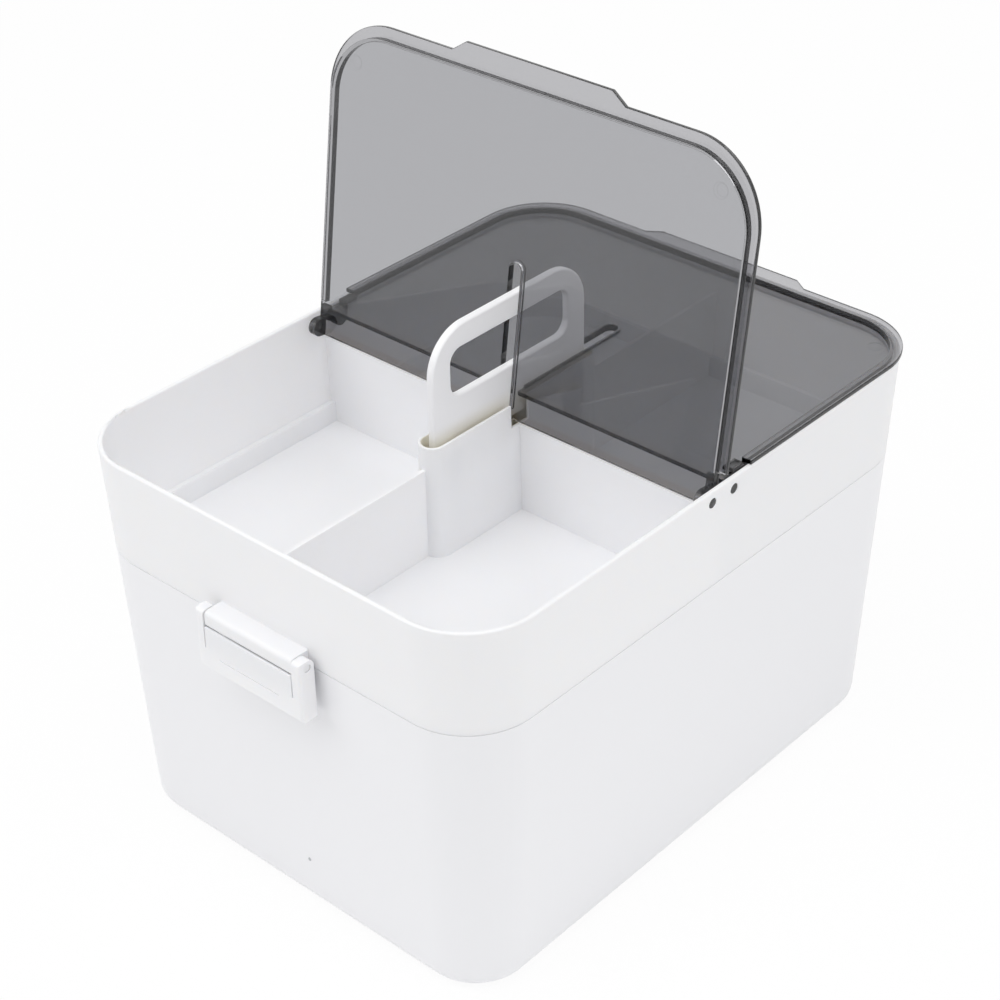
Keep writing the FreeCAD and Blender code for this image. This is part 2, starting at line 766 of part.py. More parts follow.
def write(pieces):
    """Write one file for each piece."""
    os.makedirs("parts", exist_ok=True)
    for piece in pieces:
        piece.Shape.exportStep(f"parts/{piece.Label}.step")
        print(f"{piece.Label}: {piece.Shape.Volume:.1f} mm3, {len(piece.Shape.Faces)} faces")


PIECES = build()
check(PIECES)
write(PIECES)
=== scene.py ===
"""Looks of the medicine box: moulded white tiers, smoky lids, carry handle and catch levers."""

import logging
import math
from dataclasses import dataclass
from enum import Enum
from functools import cache

import bpy
from mathutils import Matrix, Vector


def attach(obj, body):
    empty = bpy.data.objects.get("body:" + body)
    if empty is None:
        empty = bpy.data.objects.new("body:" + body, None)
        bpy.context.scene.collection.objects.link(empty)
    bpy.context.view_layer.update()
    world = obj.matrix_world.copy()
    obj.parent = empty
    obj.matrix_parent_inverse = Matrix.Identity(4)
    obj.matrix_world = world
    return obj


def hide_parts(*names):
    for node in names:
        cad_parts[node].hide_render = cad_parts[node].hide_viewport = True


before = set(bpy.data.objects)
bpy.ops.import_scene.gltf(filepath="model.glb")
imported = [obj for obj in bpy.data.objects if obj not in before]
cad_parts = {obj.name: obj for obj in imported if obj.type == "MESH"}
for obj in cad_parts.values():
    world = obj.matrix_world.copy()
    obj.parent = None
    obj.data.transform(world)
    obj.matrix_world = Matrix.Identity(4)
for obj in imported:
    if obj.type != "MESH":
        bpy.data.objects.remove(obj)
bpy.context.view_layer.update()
LOG = logging.getLogger("medicine_box")

# What the wiring of a material takes and gives.
Triple = tuple[float, float, float]
Number = bpy.types.NodeSocket | float
Paint = bpy.types.NodeSocket | Triple
Sockets = bpy.types.bpy_prop_collection

# A millimetre in metres, the plastics' index of refraction, and plain white.
MM = 0.001
PLASTIC_INDEX = 1.49
WHITE: Triple = (1.0, 1.0, 1.0)


class Body(Enum):
    """Rigid bodies of the frame that the pieces ride on."""

    BOX = "box"
    FRONT_COVER = "front_cover"
    REAR_COVER = "rear_cover"
    HANDLE = "handle"
    FRONT_LEVER = "front_lever"
    REAR_LEVER = "rear_lever"


class Slot(Enum):
    """Material slots of the record."""

    SHELL = "white_shell"
    SMOKE = "smoke_clear"
    HANDLE = "white_handle"
    LATCH = "white_latch"


def deselect() -> None:
    """Leave nothing selected, in object mode."""
    if bpy.context.object and bpy.context.object.mode != "OBJECT":
        bpy.ops.object.mode_set(mode="OBJECT")
    bpy.ops.object.select_all(action="DESELECT")


def make_active(piece: bpy.types.Object) -> None:
    """Select one object alone and make it active.

    Args:
        piece: The object.
    """
    deselect()
    piece.select_set(True)
    bpy.context.view_layer.objects.active = piece


def settle(piece: bpy.types.Object) -> None:
    """Put a piece's place into its mesh, so that its object sits at the origin.

    Args:
        piece: The object.
    """
    make_active(piece)
    bpy.ops.object.transform_apply(location=True, rotation=True, scale=True)


def close_shape() -> None:
    """Turn all faces of the shape in edit mode outwards and go back to object mode."""
    bpy.ops.mesh.select_all(action="SELECT")
    bpy.ops.mesh.normals_make_consistent(inside=False)
    bpy.ops.object.mode_set(mode="OBJECT")


@dataclass
class Wiring:
    """Adds and joins the nodes of one node tree.

    Args:
        tree: The node tree that is being wired.
    """

    tree: bpy.types.NodeTree

    def add(self, kind: str, values: dict | None = None, **settings: object) -> bpy.types.Node:
        """Add a node.

        Args:
            kind: The node's type name.
            values: Input names with a plain value, or with a socket to link.
            settings: Attributes of the node itself, set before its inputs.

        Returns:
            The new node.
        """
        node = self.tree.nodes.new(kind)
        for name, value in settings.items():
            setattr(node, name, value)
        self.fill(node, values or {})
        return node

    def fill(self, node: bpy.types.Node, values: dict) -> None:
        """Link or set several inputs of one node.

        Args:
            node: The node.
            values: Input names with a plain value, or with a socket to link.
        """
        for name, value in values.items():
            self.feed(node.inputs[name], value)

    def feed(self, socket: bpy.types.NodeSocket, value: object) -> None:
        """Link or set one input.

        Args:
            socket: The input.
            value: A socket to link, or a number, three numbers or an opaque colour.
        """
        if isinstance(value, bpy.types.NodeSocket):
            self.tree.links.new(value, socket)
        elif socket.type == "RGBA":
            socket.default_value = (*value, 1.0)
        else:
            socket.default_value = value

    def group(self, shared: bpy.types.NodeTree, values: dict) -> Sockets:
        """Place a shared node group.

        Args:
            shared: The group.
            values: Input names with a plain value, or with a socket to link.

        Returns:
            The outputs of the placed group.
        """
        return self.add("ShaderNodeGroup", values, node_tree=shared).outputs

    def place(self) -> bpy.types.NodeSocket:
        """Read the place on the piece, in the piece's own coordinates."""
        return self.add("ShaderNodeTexCoord").outputs["Object"]

    def noise(
        self, place: bpy.types.NodeSocket, scale: float, detail: float
    ) -> bpy.types.NodeSocket:
        """Spread a soft noise.

        Args:
            place: The place's socket.
            scale: Waves per unit of the place.
            detail: How many finer layers are added.

        Returns:
            The noise's socket, from 0 to 1.
        """
        values = {"Vector": place, "Scale": scale, "Detail": detail}
        return self.add("ShaderNodeTexNoise", values).outputs["Fac"]

    def number(
        self, kind: str, first: Number, second: Number = 0.0, clamp: bool = False
    ) -> bpy.types.NodeSocket:
        """Work out a number from one or two others.

        Args:
            kind: The Math operation.
            first: A socket or a number.
            second: A socket or a number.
            clamp: Whether the result is kept from 0 to 1.

        Returns:
            The result's socket.
        """
        node = self.add("ShaderNodeMath", operation=kind, use_clamp=clamp)
        self.feed(node.inputs[0], first)
        self.feed(node.inputs[1], second)
        return node.outputs[0]

    def vector(
        self, kind: str, first: bpy.types.NodeSocket, second: bpy.types.NodeSocket
    ) -> Sockets:
        """Work out a vector or a number from two vectors.

        Args:
            kind: The Vector Math operation.
            first: A vector's socket.
            second: A vector's socket.

        Returns:
            The outputs, which are Vector and Value.
        """
        node = self.add("ShaderNodeVectorMath", operation=kind)
        self.feed(node.inputs[0], first)
        self.feed(node.inputs[1], second)
        return node.outputs

    def ramp(
        self, value: bpy.types.NodeSocket, low: float, high: float
    ) -> bpy.types.NodeSocket:
        """Turn a number into a soft mask.

        Args:
            value: The number's socket.
            low: Where the mask starts to rise.
            high: Where the mask is full.

        Returns:
            The mask's socket.
        """
        return self.add(
            "ShaderNodeMapRange",
            {"Value": value, "From Min": low, "From Max": high},
            interpolation_type="SMOOTHSTEP",
        ).outputs[0]

    def blend(self, share: Number, first: Paint, second: Paint) -> bpy.types.NodeSocket:
        """Mix two colours.

        Args:
            share: 0 for the first colour and 1 for the second.
            first: A socket or three numbers.
            second: A socket or three numbers.

        Returns:
            The mixed colour's socket.
        """
        node = self.add("ShaderNodeMix", {"Factor": share}, data_type="RGBA")
        colours = [socket for socket in node.inputs if socket.type == "RGBA"]
        for socket, colour in zip(colours, (first, second)):
            self.feed(socket, colour)
        return next(socket for socket in node.outputs if socket.type == "RGBA")

    def choose(
        self, share: Number, first: bpy.types.Node, second: bpy.types.Node
    ) -> bpy.types.NodeSocket:
        """Mix two shaders.

        Args:
            share: 0 for the first shader and 1 for the second.
            first: A shader's node.
            second: A shader's node.

        Returns:
            The mixed shader's socket.
        """
        node = self.add("ShaderNodeMixShader", {"Fac": share})
        self.feed(node.inputs[1], first.outputs[0])
        self.feed(node.inputs[2], second.outputs[0])
        return node.outputs[0]

    def bump(self, height: Number, strength: float, depth: float) -> bpy.types.NodeSocket:
        """Turn a height into the direction of a bumpy surface.

        Args:
            height: The height, from 0 to 1.
            strength: Strength of the bumps.
            depth: Depth of the bumps in metres.

        Returns:
            The direction's socket.
        """
        values = {"Height": height, "Strength": strength, "Distance": depth}
        return self.add("ShaderNodeBump", values).outputs["Normal"]


@dataclass(frozen=True)
class GroupSockets:
    """Names and kinds of a node group's inputs and outputs.

    Args:
        name: The group's name.
        inputs: Input titles and socket types.
        outputs: Output titles and socket types.
    """

    name: str
    inputs: tuple[tuple[str, str], ...]
    outputs: tuple[tuple[str, str], ...]

    def open(self) -> tuple[Wiring, Sockets, Sockets]:
        """Make the empty group.

        Returns:
            The group's wiring, the entry's outputs and the exit's inputs.
        """
        tree = bpy.data.node_groups.new(self.name, "ShaderNodeTree")
        for way, sockets in (("INPUT", self.inputs), ("OUTPUT", self.outputs)):
            for title, kind in sockets:
                tree.interface.new_socket(title, in_out=way, socket_type=f"NodeSocket{kind}")
        wire = Wiring(tree)
        return wire, wire.add("NodeGroupInput").outputs, wire.add("NodeGroupOutput").inputs


class SharedEffects:
    """Node groups that more than one finish or place uses, each built once.

    Attributes:
        NOISE_MIDDLE: The middle value of a noise.
        DRIFT_WAVES: Waves of the slow shade drift per metre.
        DRIFT_SHEEN: How much the drift changes the roughness.
        GRAIN_WAVES: Waves of the fine grain per metre.
        SCRATCH_WAVES: Waves of the drawn-out scratches per metre, along each axis.
        SCRATCH_MASK: Noise from which a scratch begins to show and is full.
        OUTLINE_SHARE: Strength of the pocket mask on the pocket's outline.
        PAINTED_EDGE_MASK: Turn of a face from the plate at which the painted dark of an edge
            begins and is full.
        BRIM_MASK: Height past the brim's level at which the brim begins and is full.
        PAINTED_TAIL_MASK: Distance behind the hinge line at which the painted shade of the strip
            begins and is full.
    """

    NOISE_MIDDLE = 0.5
    DRIFT_WAVES = 9.0
    DRIFT_SHEEN = 1.5
    GRAIN_WAVES = 1400.0
    SCRATCH_WAVES = (60.0, 60.0, 900.0)
    SCRATCH_MASK = (0.62, 0.8)
    OUTLINE_SHARE = 0.5
    PAINTED_EDGE_MASK = (0.03, 0.28)
    BRIM_MASK = (-0.4 * MM, 0.2 * MM)
    PAINTED_TAIL_MASK = (0.0, 2.0 * MM)

    @staticmethod
    @cache
    def skin() -> bpy.types.NodeTree:
        """Slow shade drift, fine grain and light scuffs of a moulded surface.

        Returns:
            The group.
        """
        wire, entry, leave = GroupSockets(
            "moulded_skin",
            (("Colour", "Color"), ("Drift", "Float"), ("Gloss", "Float"), ("Grain", "Float"),
             ("Scuff", "Float")),
            (("Colour", "Color"), ("Roughness", "Float"), ("Height", "Float")),
        ).open()
        place = wire.place()
        slow = wire.noise(place, scale=SharedEffects.DRIFT_WAVES, detail=2.0)
        swing = wire.number("SUBTRACT", slow, SharedEffects.NOISE_MIDDLE)
        shade = wire.number("MULTIPLY", swing, entry["Drift"])
        tone = wire.add(
            "ShaderNodeHueSaturation",
            {"Color": entry["Colour"], "Value": wire.number("ADD", shade, 1.0)},
        ).outputs[0]
        grain = wire.noise(place, scale=SharedEffects.GRAIN_WAVES, detail=3.0)
        stretch = wire.add(
            "ShaderNodeMapping", {"Vector": place, "Scale": SharedEffects.SCRATCH_WAVES}
        ).outputs[0]
        scratch = wire.ramp(
            wire.noise(stretch, scale=1.0, detail=4.0), *SharedEffects.SCRATCH_MASK
        )
        scuffed = wire.number("MULTIPLY", scratch, entry["Scuff"])
        rough = wire.number("ADD", entry["Gloss"], scuffed)
        sheen = wire.number("MULTIPLY", shade, SharedEffects.DRIFT_SHEEN)
        wire.feed(leave["Colour"], tone)
        wire.feed(leave["Roughness"], wire.number("ADD", rough, sheen))
        wire.feed(leave["Height"], wire.number("MULTIPLY", grain, entry["Grain"]))
        return wire.tree

    @staticmethod
    @cache
    def pocket() -> bpy.types.NodeTree:
        """Mask of an upright pocket with round ends, such as the handle's slot, where painted
        light is laid.

        Returns:
            The group.
        """
        wire, entry, leave = GroupSockets(
            "painted_light_pocket",
            (("Middle", "Vector"), ("Straight", "Float"), ("Radius", "Float"),
             ("Rise", "Float"), ("Soft", "Float")),
            (("Mask", "Float"),),
        ).open()
        off = wire.vector("SUBTRACT", wire.place(), entry["Middle"])["Vector"]
        parts = wire.add("ShaderNodeSeparateXYZ", {"Vector": off}).outputs
        beyond = wire.number("SUBTRACT", wire.number("ABSOLUTE", parts["Y"]), entry["Straight"])
        end = wire.number("MAXIMUM", beyond, 0.0)
        square = wire.number(
            "ADD",
            wire.number("MULTIPLY", parts["X"], parts["X"]),
            wire.number("MULTIPLY", end, end),
        )
        away = wire.number("SUBTRACT", wire.number("SQRT", square), entry["Radius"])
        over = wire.number("SUBTRACT", wire.number("ABSOLUTE", parts["Z"]), entry["Rise"])
        share = wire.number("DIVIDE", wire.number("MAXIMUM", away, over), entry["Soft"])
        mask = wire.number("SUBTRACT", SharedEffects.OUTLINE_SHARE, share, clamp=True)
        wire.feed(leave["Mask"], mask)
        return wire.tree

    @staticmethod
    @cache
    def plate() -> bpy.types.NodeTree:
        """Masks of a clear plate: its edges, by how far a face turns, its brim and the strip
        behind its hinge line; the edges and that strip carry painted shade.

        Returns:
            The group.
        """
        wire, entry, leave = GroupSockets(
            "plate_masks",
            (("Origin", "Vector"), ("Upright", "Vector"), ("Outwards", "Vector"),
             ("Brim", "Float")),
            (("Edge", "Float"), ("Brim", "Float"), ("Painted Tail Shade", "Float")),
        ).open()
        spot = wire.add("ShaderNodeTexCoord").outputs
        along = wire.vector("DOT_PRODUCT", spot["Normal"], entry["Upright"])["Value"]
        turned = wire.number("SUBTRACT", 1.0, wire.number("ABSOLUTE", along))
        off = wire.vector("SUBTRACT", spot["Object"], entry["Origin"])["Vector"]
        level = wire.vector("DOT_PRODUCT", off, entry["Upright"])["Value"]
        past = wire.number("SUBTRACT", level, entry["Brim"])
        reach = wire.vector("DOT_PRODUCT", off, entry["Outwards"])["Value"]
        behind = wire.number("MULTIPLY", reach, -1.0)
        wire.feed(leave["Edge"], wire.ramp(turned, *SharedEffects.PAINTED_EDGE_MASK))
        wire.feed(leave["Brim"], wire.ramp(past, *SharedEffects.BRIM_MASK))
        wire.feed(leave["Painted Tail Shade"], wire.ramp(behind, *SharedEffects.PAINTED_TAIL_MASK))
        return wire.tree

    @staticmethod
    @cache
    def pin_mark() -> bpy.types.NodeTree:
        """Height of the round mark that an ejector pin leaves.

        Returns:
            The group.
        """
        wire, entry, leave = GroupSockets(
            "pin_mark",
            (("Centre", "Vector"), ("Radius", "Float"), ("Soft", "Float")),
            (("Height", "Float"),),
        ).open()
        away = wire.vector("DISTANCE", wire.place(), entry["Centre"])["Value"]
        off = wire.number(
            "DIVIDE", wire.number("SUBTRACT", away, entry["Radius"]), entry["Soft"]
        )
        height = wire.number("SUBTRACT", 1.0, wire.number("ABSOLUTE", off), clamp=True)
        wire.feed(leave["Height"], height)
        return wire.tree

    @staticmethod
    @cache
    def dust() -> bpy.types.NodeTree:
        """Mask of a few tiny pale specks.

        Returns:
            The group.
        """
        wire, entry, leave = GroupSockets(
            "dust_specks",
            (("Spacing", "Float"), ("Size", "Float"), ("Share", "Float")),
            (("Mask", "Float"),),
        ).open()
        cells = wire.add(
            "ShaderNodeTexVoronoi",
            {"Vector": wire.place(), "Scale": wire.number("DIVIDE", 1.0, entry["Spacing"])},
        ).outputs
        far = wire.number("MULTIPLY", cells["Distance"], entry["Spacing"])
        chance = wire.add("ShaderNodeSeparateColor", {"Color": cells["Color"]}).outputs
        size = wire.number("MULTIPLY", entry["Size"], chance["Green"])
        near = wire.number("LESS_THAN", far, size)
        some = wire.number("LESS_THAN", chance["Red"], entry["Share"])
        wire.feed(leave["Mask"], wire.number("MULTIPLY", near, some))
        return wire.tree


@dataclass(frozen=True)
class PaintedWarmLight:
    """A narrow place where light is painted into the colour: a yellowish tint stands in for the
    light that seeps through the white walls.

    Args:
        middle: Its middle, in metres.
        straight: Half of its straight run along Y.
        radius: Radius of its round ends.
        rise: Half of its height.
        soft: Width over which the tint fades.
    """

    middle: Triple
    straight: float
    radius: float
    rise: float
    soft: float

    def sockets(self) -> dict[str, object]:
        """Name its sizes as the pocket group does.

        Returns:
            Its sizes under the names of the group's inputs.
        """
        return {
            "Middle": self.middle, "Straight": self.straight, "Radius": self.radius,
            "Rise": self.rise, "Soft": self.soft,
        }


@dataclass(frozen=True)
class LidPlace:
    """Where a lid lies at rest.

    Args:
        origin: Middle of its hinge line.
        across: Direction across its plate.
        outwards: Direction from its hinge line to its far edge.
    """

    origin: Vector
    across: Vector
    outwards: Vector

    def point(self, along: float, out: float, up: float) -> Vector:
        """Find a point of the lid in the frame.

        Args:
            along: Distance from the middle, along the hinge line.
            out: Distance from the hinge line towards the far edge.
            up: Level over the hinge line, across the plate.

        Returns:
            The point.
        """
        return self.origin + self.across * up + self.outwards * out + Vector((along, 0.0, 0.0))

    def matrix(self, along: float) -> Matrix:
        """Find the place of a shape that was modelled round the hinge line of a level lid.

        Args:
            along: The shape's distance from the middle, along the hinge line.

        Returns:
            The place.
        """
        sideways = self.outwards.cross(self.across)
        turned = Matrix((sideways, self.outwards, self.across)).transposed().to_4x4()
        return Matrix.Translation(self.point(along, 0.0, 0.0)) @ turned


@dataclass(frozen=True)
class MouldedPlastic:
    """Opaque moulded plastic finish.

    Args:
        name: Material name.
        colour: Base colour, linear.
        gloss: Base roughness.
        grain: Height of the fine grain, 0 to 1.
        grain_strength: Strength of the grain's bumps.
        grain_depth: Depth of the grain's bumps.
        scuff: Roughness added by light scratches.
        drift: Depth of the slow shade variation.
        painted_warm_light: Colour of the painted light laid over a narrow pocket, standing in
            for the light that seeps through the walls and turns yellowish.
        painted_light_places: The narrow places that get this painted light.
        glow: Share of the light that scatters under the surface.
        glow_tint: How far red, green and blue light scatter, as shares of the depth.
        glow_depth: Depth of the scattering.
    """

    name: str
    colour: Triple = (0.92, 0.92, 0.93)
    gloss: float = 0.36
    grain: float = 0.5
    grain_strength: float = 0.12
    grain_depth: float = 0.05 * MM
    scuff: float = 0.06
    drift: float = 0.012
    painted_warm_light: Triple = (0.92, 0.885, 0.78)
    painted_light_places: tuple[PaintedWarmLight, ...] = ()
    glow: float = 0.0
    glow_tint: Triple = (1.0, 0.9, 0.8)
    glow_depth: float = 3.0 * MM

    def material(self) -> bpy.types.Material:
        """Build the material.

        Returns:
            The finished material.
        """
        made = bpy.data.materials.new(self.name)
        made.use_nodes = True
        wire = Wiring(made.node_tree)
        tone: Paint = self.colour
        # Painted light: a yellowish tint is blended in over the mask of each narrow place.
        for pocket in self.painted_light_places:
            mask = wire.group(SharedEffects.pocket(), pocket.sockets())["Mask"]
            tone = wire.blend(mask, tone, self.painted_warm_light)
        skin = wire.group(SharedEffects.skin(), {
            "Colour": tone, "Drift": self.drift, "Gloss": self.gloss,
            "Grain": self.grain, "Scuff": self.scuff,
        })
        wire.fill(made.node_tree.nodes["Principled BSDF"], {
            "Base Color": skin["Colour"],
            "Roughness": skin["Roughness"],
            "Normal": wire.bump(skin["Height"], self.grain_strength, self.grain_depth),
            "IOR": PLASTIC_INDEX,
            "Subsurface Weight": self.glow,
            "Subsurface Radius": self.glow_tint,
            "Subsurface Scale": self.glow_depth,
        })
        return made


@dataclass(frozen=True)
class SmokyClear:
    """Smoky clear styrene plate, dark where it is seen through its edges: painted dark that
    stands in for the dark reflections and long light path there.

    Args:
        name: Material name.
        place: Where the lid lies that is made of it.
        pins: Centres of the ejector pin marks, in metres.
        pin_radius: Radius of the pin marks.
        pin_soft: Half of the width of their line.
        pin_shade: Share of the edges' tint in that line.
        body: Tint of the flat plate.
        brim: Tint of the thinner brim.
        brim_level: Height over the hinge line at which the brim begins.
        painted_tail_shade: Tint of the strip behind the hinge line, a little warmer: painted
            shade standing in for the shaded parts seen through it.
        edge: Painted dark of the edges, in place of their dark reflections and long light path.
        shade: Tint of the light that falls through the plate on the box.
        smoke: Colour of the absorption inside the plate.
        density: Absorption per metre.
        gloss: Roughness of the polished faces.
        film_waves: Waves of the faint film per metre.
        film_mask: Noise from which the film begins to show and is full.
        film_rough: Roughness that the film adds.
        uneven_waves: Waves of the uneven faces per metre.
        uneven_height: Their height beside that of the pin marks.
        relief_strength: Strength of the waves and marks.
        relief_depth: Depth of the waves and marks.
        speck_spacing: Distance between the places of dust specks.
        speck_size: Largest size of a speck.
        speck_share: Share of the places that hold a speck.
    """

    name: str
    place: LidPlace
    pins: tuple[Vector, ...] = ()
    pin_radius: float = 3.2 * MM
    pin_soft: float = 0.35 * MM
    pin_shade: float = 0.14
    body: Triple = (0.46, 0.465, 0.485)
    brim: Triple = (0.55, 0.55, 0.57)
    brim_level: float = 5.4 * MM
    painted_tail_shade: Triple = (0.44, 0.42, 0.41)
    edge: Triple = (0.05, 0.05, 0.052)
    shade: Triple = WHITE
    smoke: Triple = (0.06, 0.04, 0.05)
    density: float = 60.0
    gloss: float = 0.02
    film_waves: float = 300.0
    film_mask: tuple[float, float] = (0.55, 0.8)
    film_rough: float = 0.03
    uneven_waves: float = 45.0
    uneven_height: float = 0.3
    relief_strength: float = 0.3
    relief_depth: float = 0.1 * MM
    speck_spacing: float = 40.0 * MM
    speck_size: float = 0.7 * MM
    speck_share: float = 0.25

    def rings(self, wire: Wiring) -> Number:
        """Add up the heights of the pin marks.

        Args:
            wire: Wiring of the material.

        Returns:
            The height's socket, or 0 where the plate has no marks.
        """
        rings: Number = 0.0
        for centre in self.pins:
            mark = wire.group(SharedEffects.pin_mark(), {
                "Centre": centre, "Radius": self.pin_radius, "Soft": self.pin_soft,
            })
            rings = wire.number("ADD", rings, mark["Height"])
        return rings

    def tint(self, wire: Wiring, rings: Number) -> bpy.types.NodeSocket:
        """Tint the plate, its brim, specks and pin marks, with painted shade on its edges and on
        the strip behind its hinge line.

        Args:
            wire: Wiring of the material.
            rings: Height of the pin marks.

        Returns:
            The tint's socket.
        """
        masks = wire.group(SharedEffects.plate(), {
            "Origin": self.place.origin, "Upright": self.place.across,
            "Outwards": self.place.outwards, "Brim": self.brim_level,
        })
        specks = wire.group(SharedEffects.dust(), {
            "Spacing": self.speck_spacing, "Size": self.speck_size, "Share": self.speck_share,
        })
        plate = wire.blend(masks["Brim"], self.body, self.brim)
        # Painted shade: the strip behind the hinge line gets a darker, warmer tint.
        whole = wire.blend(masks["Painted Tail Shade"], plate, self.painted_tail_shade)
        # Painted dark on the edges, in place of their dark reflections and long light path.
        edge_shaded = wire.blend(masks["Edge"], whole, self.edge)
        dusty = wire.blend(specks["Mask"], edge_shaded, WHITE)
        return wire.blend(wire.number("MULTIPLY", rings, self.pin_shade), dusty, self.edge)

    def relief(
        self, wire: Wiring, place: bpy.types.NodeSocket, rings: Number
    ) -> bpy.types.NodeSocket:
        """Make the polished faces slightly uneven, with the pin marks on them.

        Args:
            wire: Wiring of the material.
            place: Socket with the place on the piece.
            rings: Height of the pin marks.

        Returns:
            Socket with the direction of the surface.
        """
        wave = wire.noise(place, scale=self.uneven_waves, detail=1.0)
        height = wire.number("ADD", wire.number("MULTIPLY", wave, self.uneven_height), rings)
        return wire.bump(height, self.relief_strength, self.relief_depth)

    def haze(self, wire: Wiring, place: bpy.types.NodeSocket) -> bpy.types.NodeSocket:
        """Lay a faint uneven film on the polished faces.

        Args:
            wire: Wiring of the material.
            place: Socket with the place on the piece.

        Returns:
            The roughness's socket.
        """
        low, high = self.film_mask
        return wire.add("ShaderNodeMapRange", {
            "Value": wire.noise(place, scale=self.film_waves, detail=2.0),
            "From Min": low, "From Max": high,
            "To Min": self.gloss, "To Max": self.gloss + self.film_rough,
        }).outputs[0]

    def material(self) -> bpy.types.Material:
        """Build the material.

        Returns:
            The finished material.
        """
        made = bpy.data.materials.new(self.name)
        made.use_nodes = True
        wire = Wiring(made.node_tree)
        surface = made.node_tree.nodes["Principled BSDF"]
        place = wire.place()
        rings = self.rings(wire)
        wire.fill(surface, {
            "Base Color": self.tint(wire, rings),
            "Roughness": self.haze(wire, place),
            "Normal": self.relief(wire, place, rings),
            "IOR": PLASTIC_INDEX,
            "Transmission Weight": 1.0,
        })
        clear = wire.add("ShaderNodeBsdfTransparent", {"Color": self.shade})
        smoke = wire.add(
            "ShaderNodeVolumeAbsorption", {"Color": self.smoke, "Density": self.density}
        )
        path = wire.add("ShaderNodeLightPath").outputs
        lit = wire.number("MAXIMUM", path["Is Shadow Ray"], path["Is Diffuse Ray"])
        wire.fill(made.node_tree.nodes["Material Output"], {
            "Surface": wire.choose(lit, surface, clear), "Volume": smoke.outputs[0],
        })
        return made


@dataclass
class Moulding:
    """A moulded piece that stands for its CAD node, with its edges softened.

    Args:
        node: Name of the CAD node.
        body: Body that it rides on.
        slot: Material slot of the record; not used.
        finish: The material it gets.
        soft: Width of its edge rounding in metres.
        rounds: Steps of the edge rounding.
        limit: Edges sharper than this many degrees are rounded.
        smooth: Faces that meet at less than this many degrees shade as one.
        merge: Points nearer to each other than this are joined.
        flat: Faces that turn by less than this many degrees are joined.
        sliver: Edges shorter than this are dissolved after the rounding.
        large_faces: How far large faces rule the shading, from 1 to 100.
    """

    node: str
    body: Body
    slot: Slot
    finish: bpy.types.Material
    soft: float = 0.25 * MM
    rounds: int = 2
    limit: float = 35.0
    smooth: float = 40.0
    merge: float = 0.002 * MM
    flat: float = 0.3
    sliver: float = 0.001 * MM
    large_faces: int = 100

    def build(self) -> None:
        """Copy the node, join its triangles, soften its edges and dress it."""
        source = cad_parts[self.node]
        piece = bpy.data.objects.new(f"{self.node}_moulding", source.data.copy())
        bpy.context.scene.collection.objects.link(piece)
        self.join(piece)
        self.soften(piece)
        piece.data.materials.clear()
        piece.data.materials.append(self.finish)
        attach(piece, self.body.value)
        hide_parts(self.node)
        LOG.info("built %s with %d faces", piece.name, len(piece.data.polygons))

    def join(self, piece: bpy.types.Object) -> None:
        """Merge the loose triangles and dissolve what is flat.

        Args:
            piece: The copied piece.
        """
        make_active(piece)
        bpy.ops.object.mode_set(mode="EDIT")
        bpy.ops.mesh.select_mode(type="VERT")
        bpy.ops.mesh.select_all(action="SELECT")
        bpy.ops.mesh.remove_doubles(threshold=self.merge)
        bpy.ops.mesh.dissolve_limited(angle_limit=math.radians(self.flat))
        bpy.ops.object.mode_set(mode="OBJECT")

    def soften(self, piece: bpy.types.Object) -> None:
        """Round the sharp edges within the node's own reach and shade the piece.

        Args:
            piece: The joined piece.
        """
        reach = [(min(axis), max(axis)) for axis in zip(*(v.co for v in piece.data.vertices))]
        bevel = piece.modifiers.new("soft_edges", "BEVEL")
        bevel.width = self.soft
        bevel.segments = self.rounds
        bevel.limit_method = "ANGLE"
        bevel.angle_limit = math.radians(self.limit)
        bevel.use_clamp_overlap = False
        bevel.miter_outer = "MITER_ARC"
        make_active(piece)
        bpy.ops.object.modifier_apply(modifier=bevel.name)
        for vertex in piece.data.vertices:
            vertex.co = [min(max(c, low), high) for c, (low, high) in zip(vertex.co, reach)]
        bpy.ops.object.mode_set(mode="EDIT")
        bpy.ops.mesh.select_all(action="SELECT")
        bpy.ops.mesh.dissolve_degenerate(threshold=self.sliver)
        bpy.ops.object.mode_set(mode="OBJECT")
        bpy.ops.object.shade_smooth_by_angle(angle=math.radians(self.smooth))
        even = piece.modifiers.new("even_faces", "WEIGHTED_NORMAL")
        even.keep_sharp = True
        even.weight = self.large_faces
        bpy.ops.object.modifier_apply(modifier=even.name)


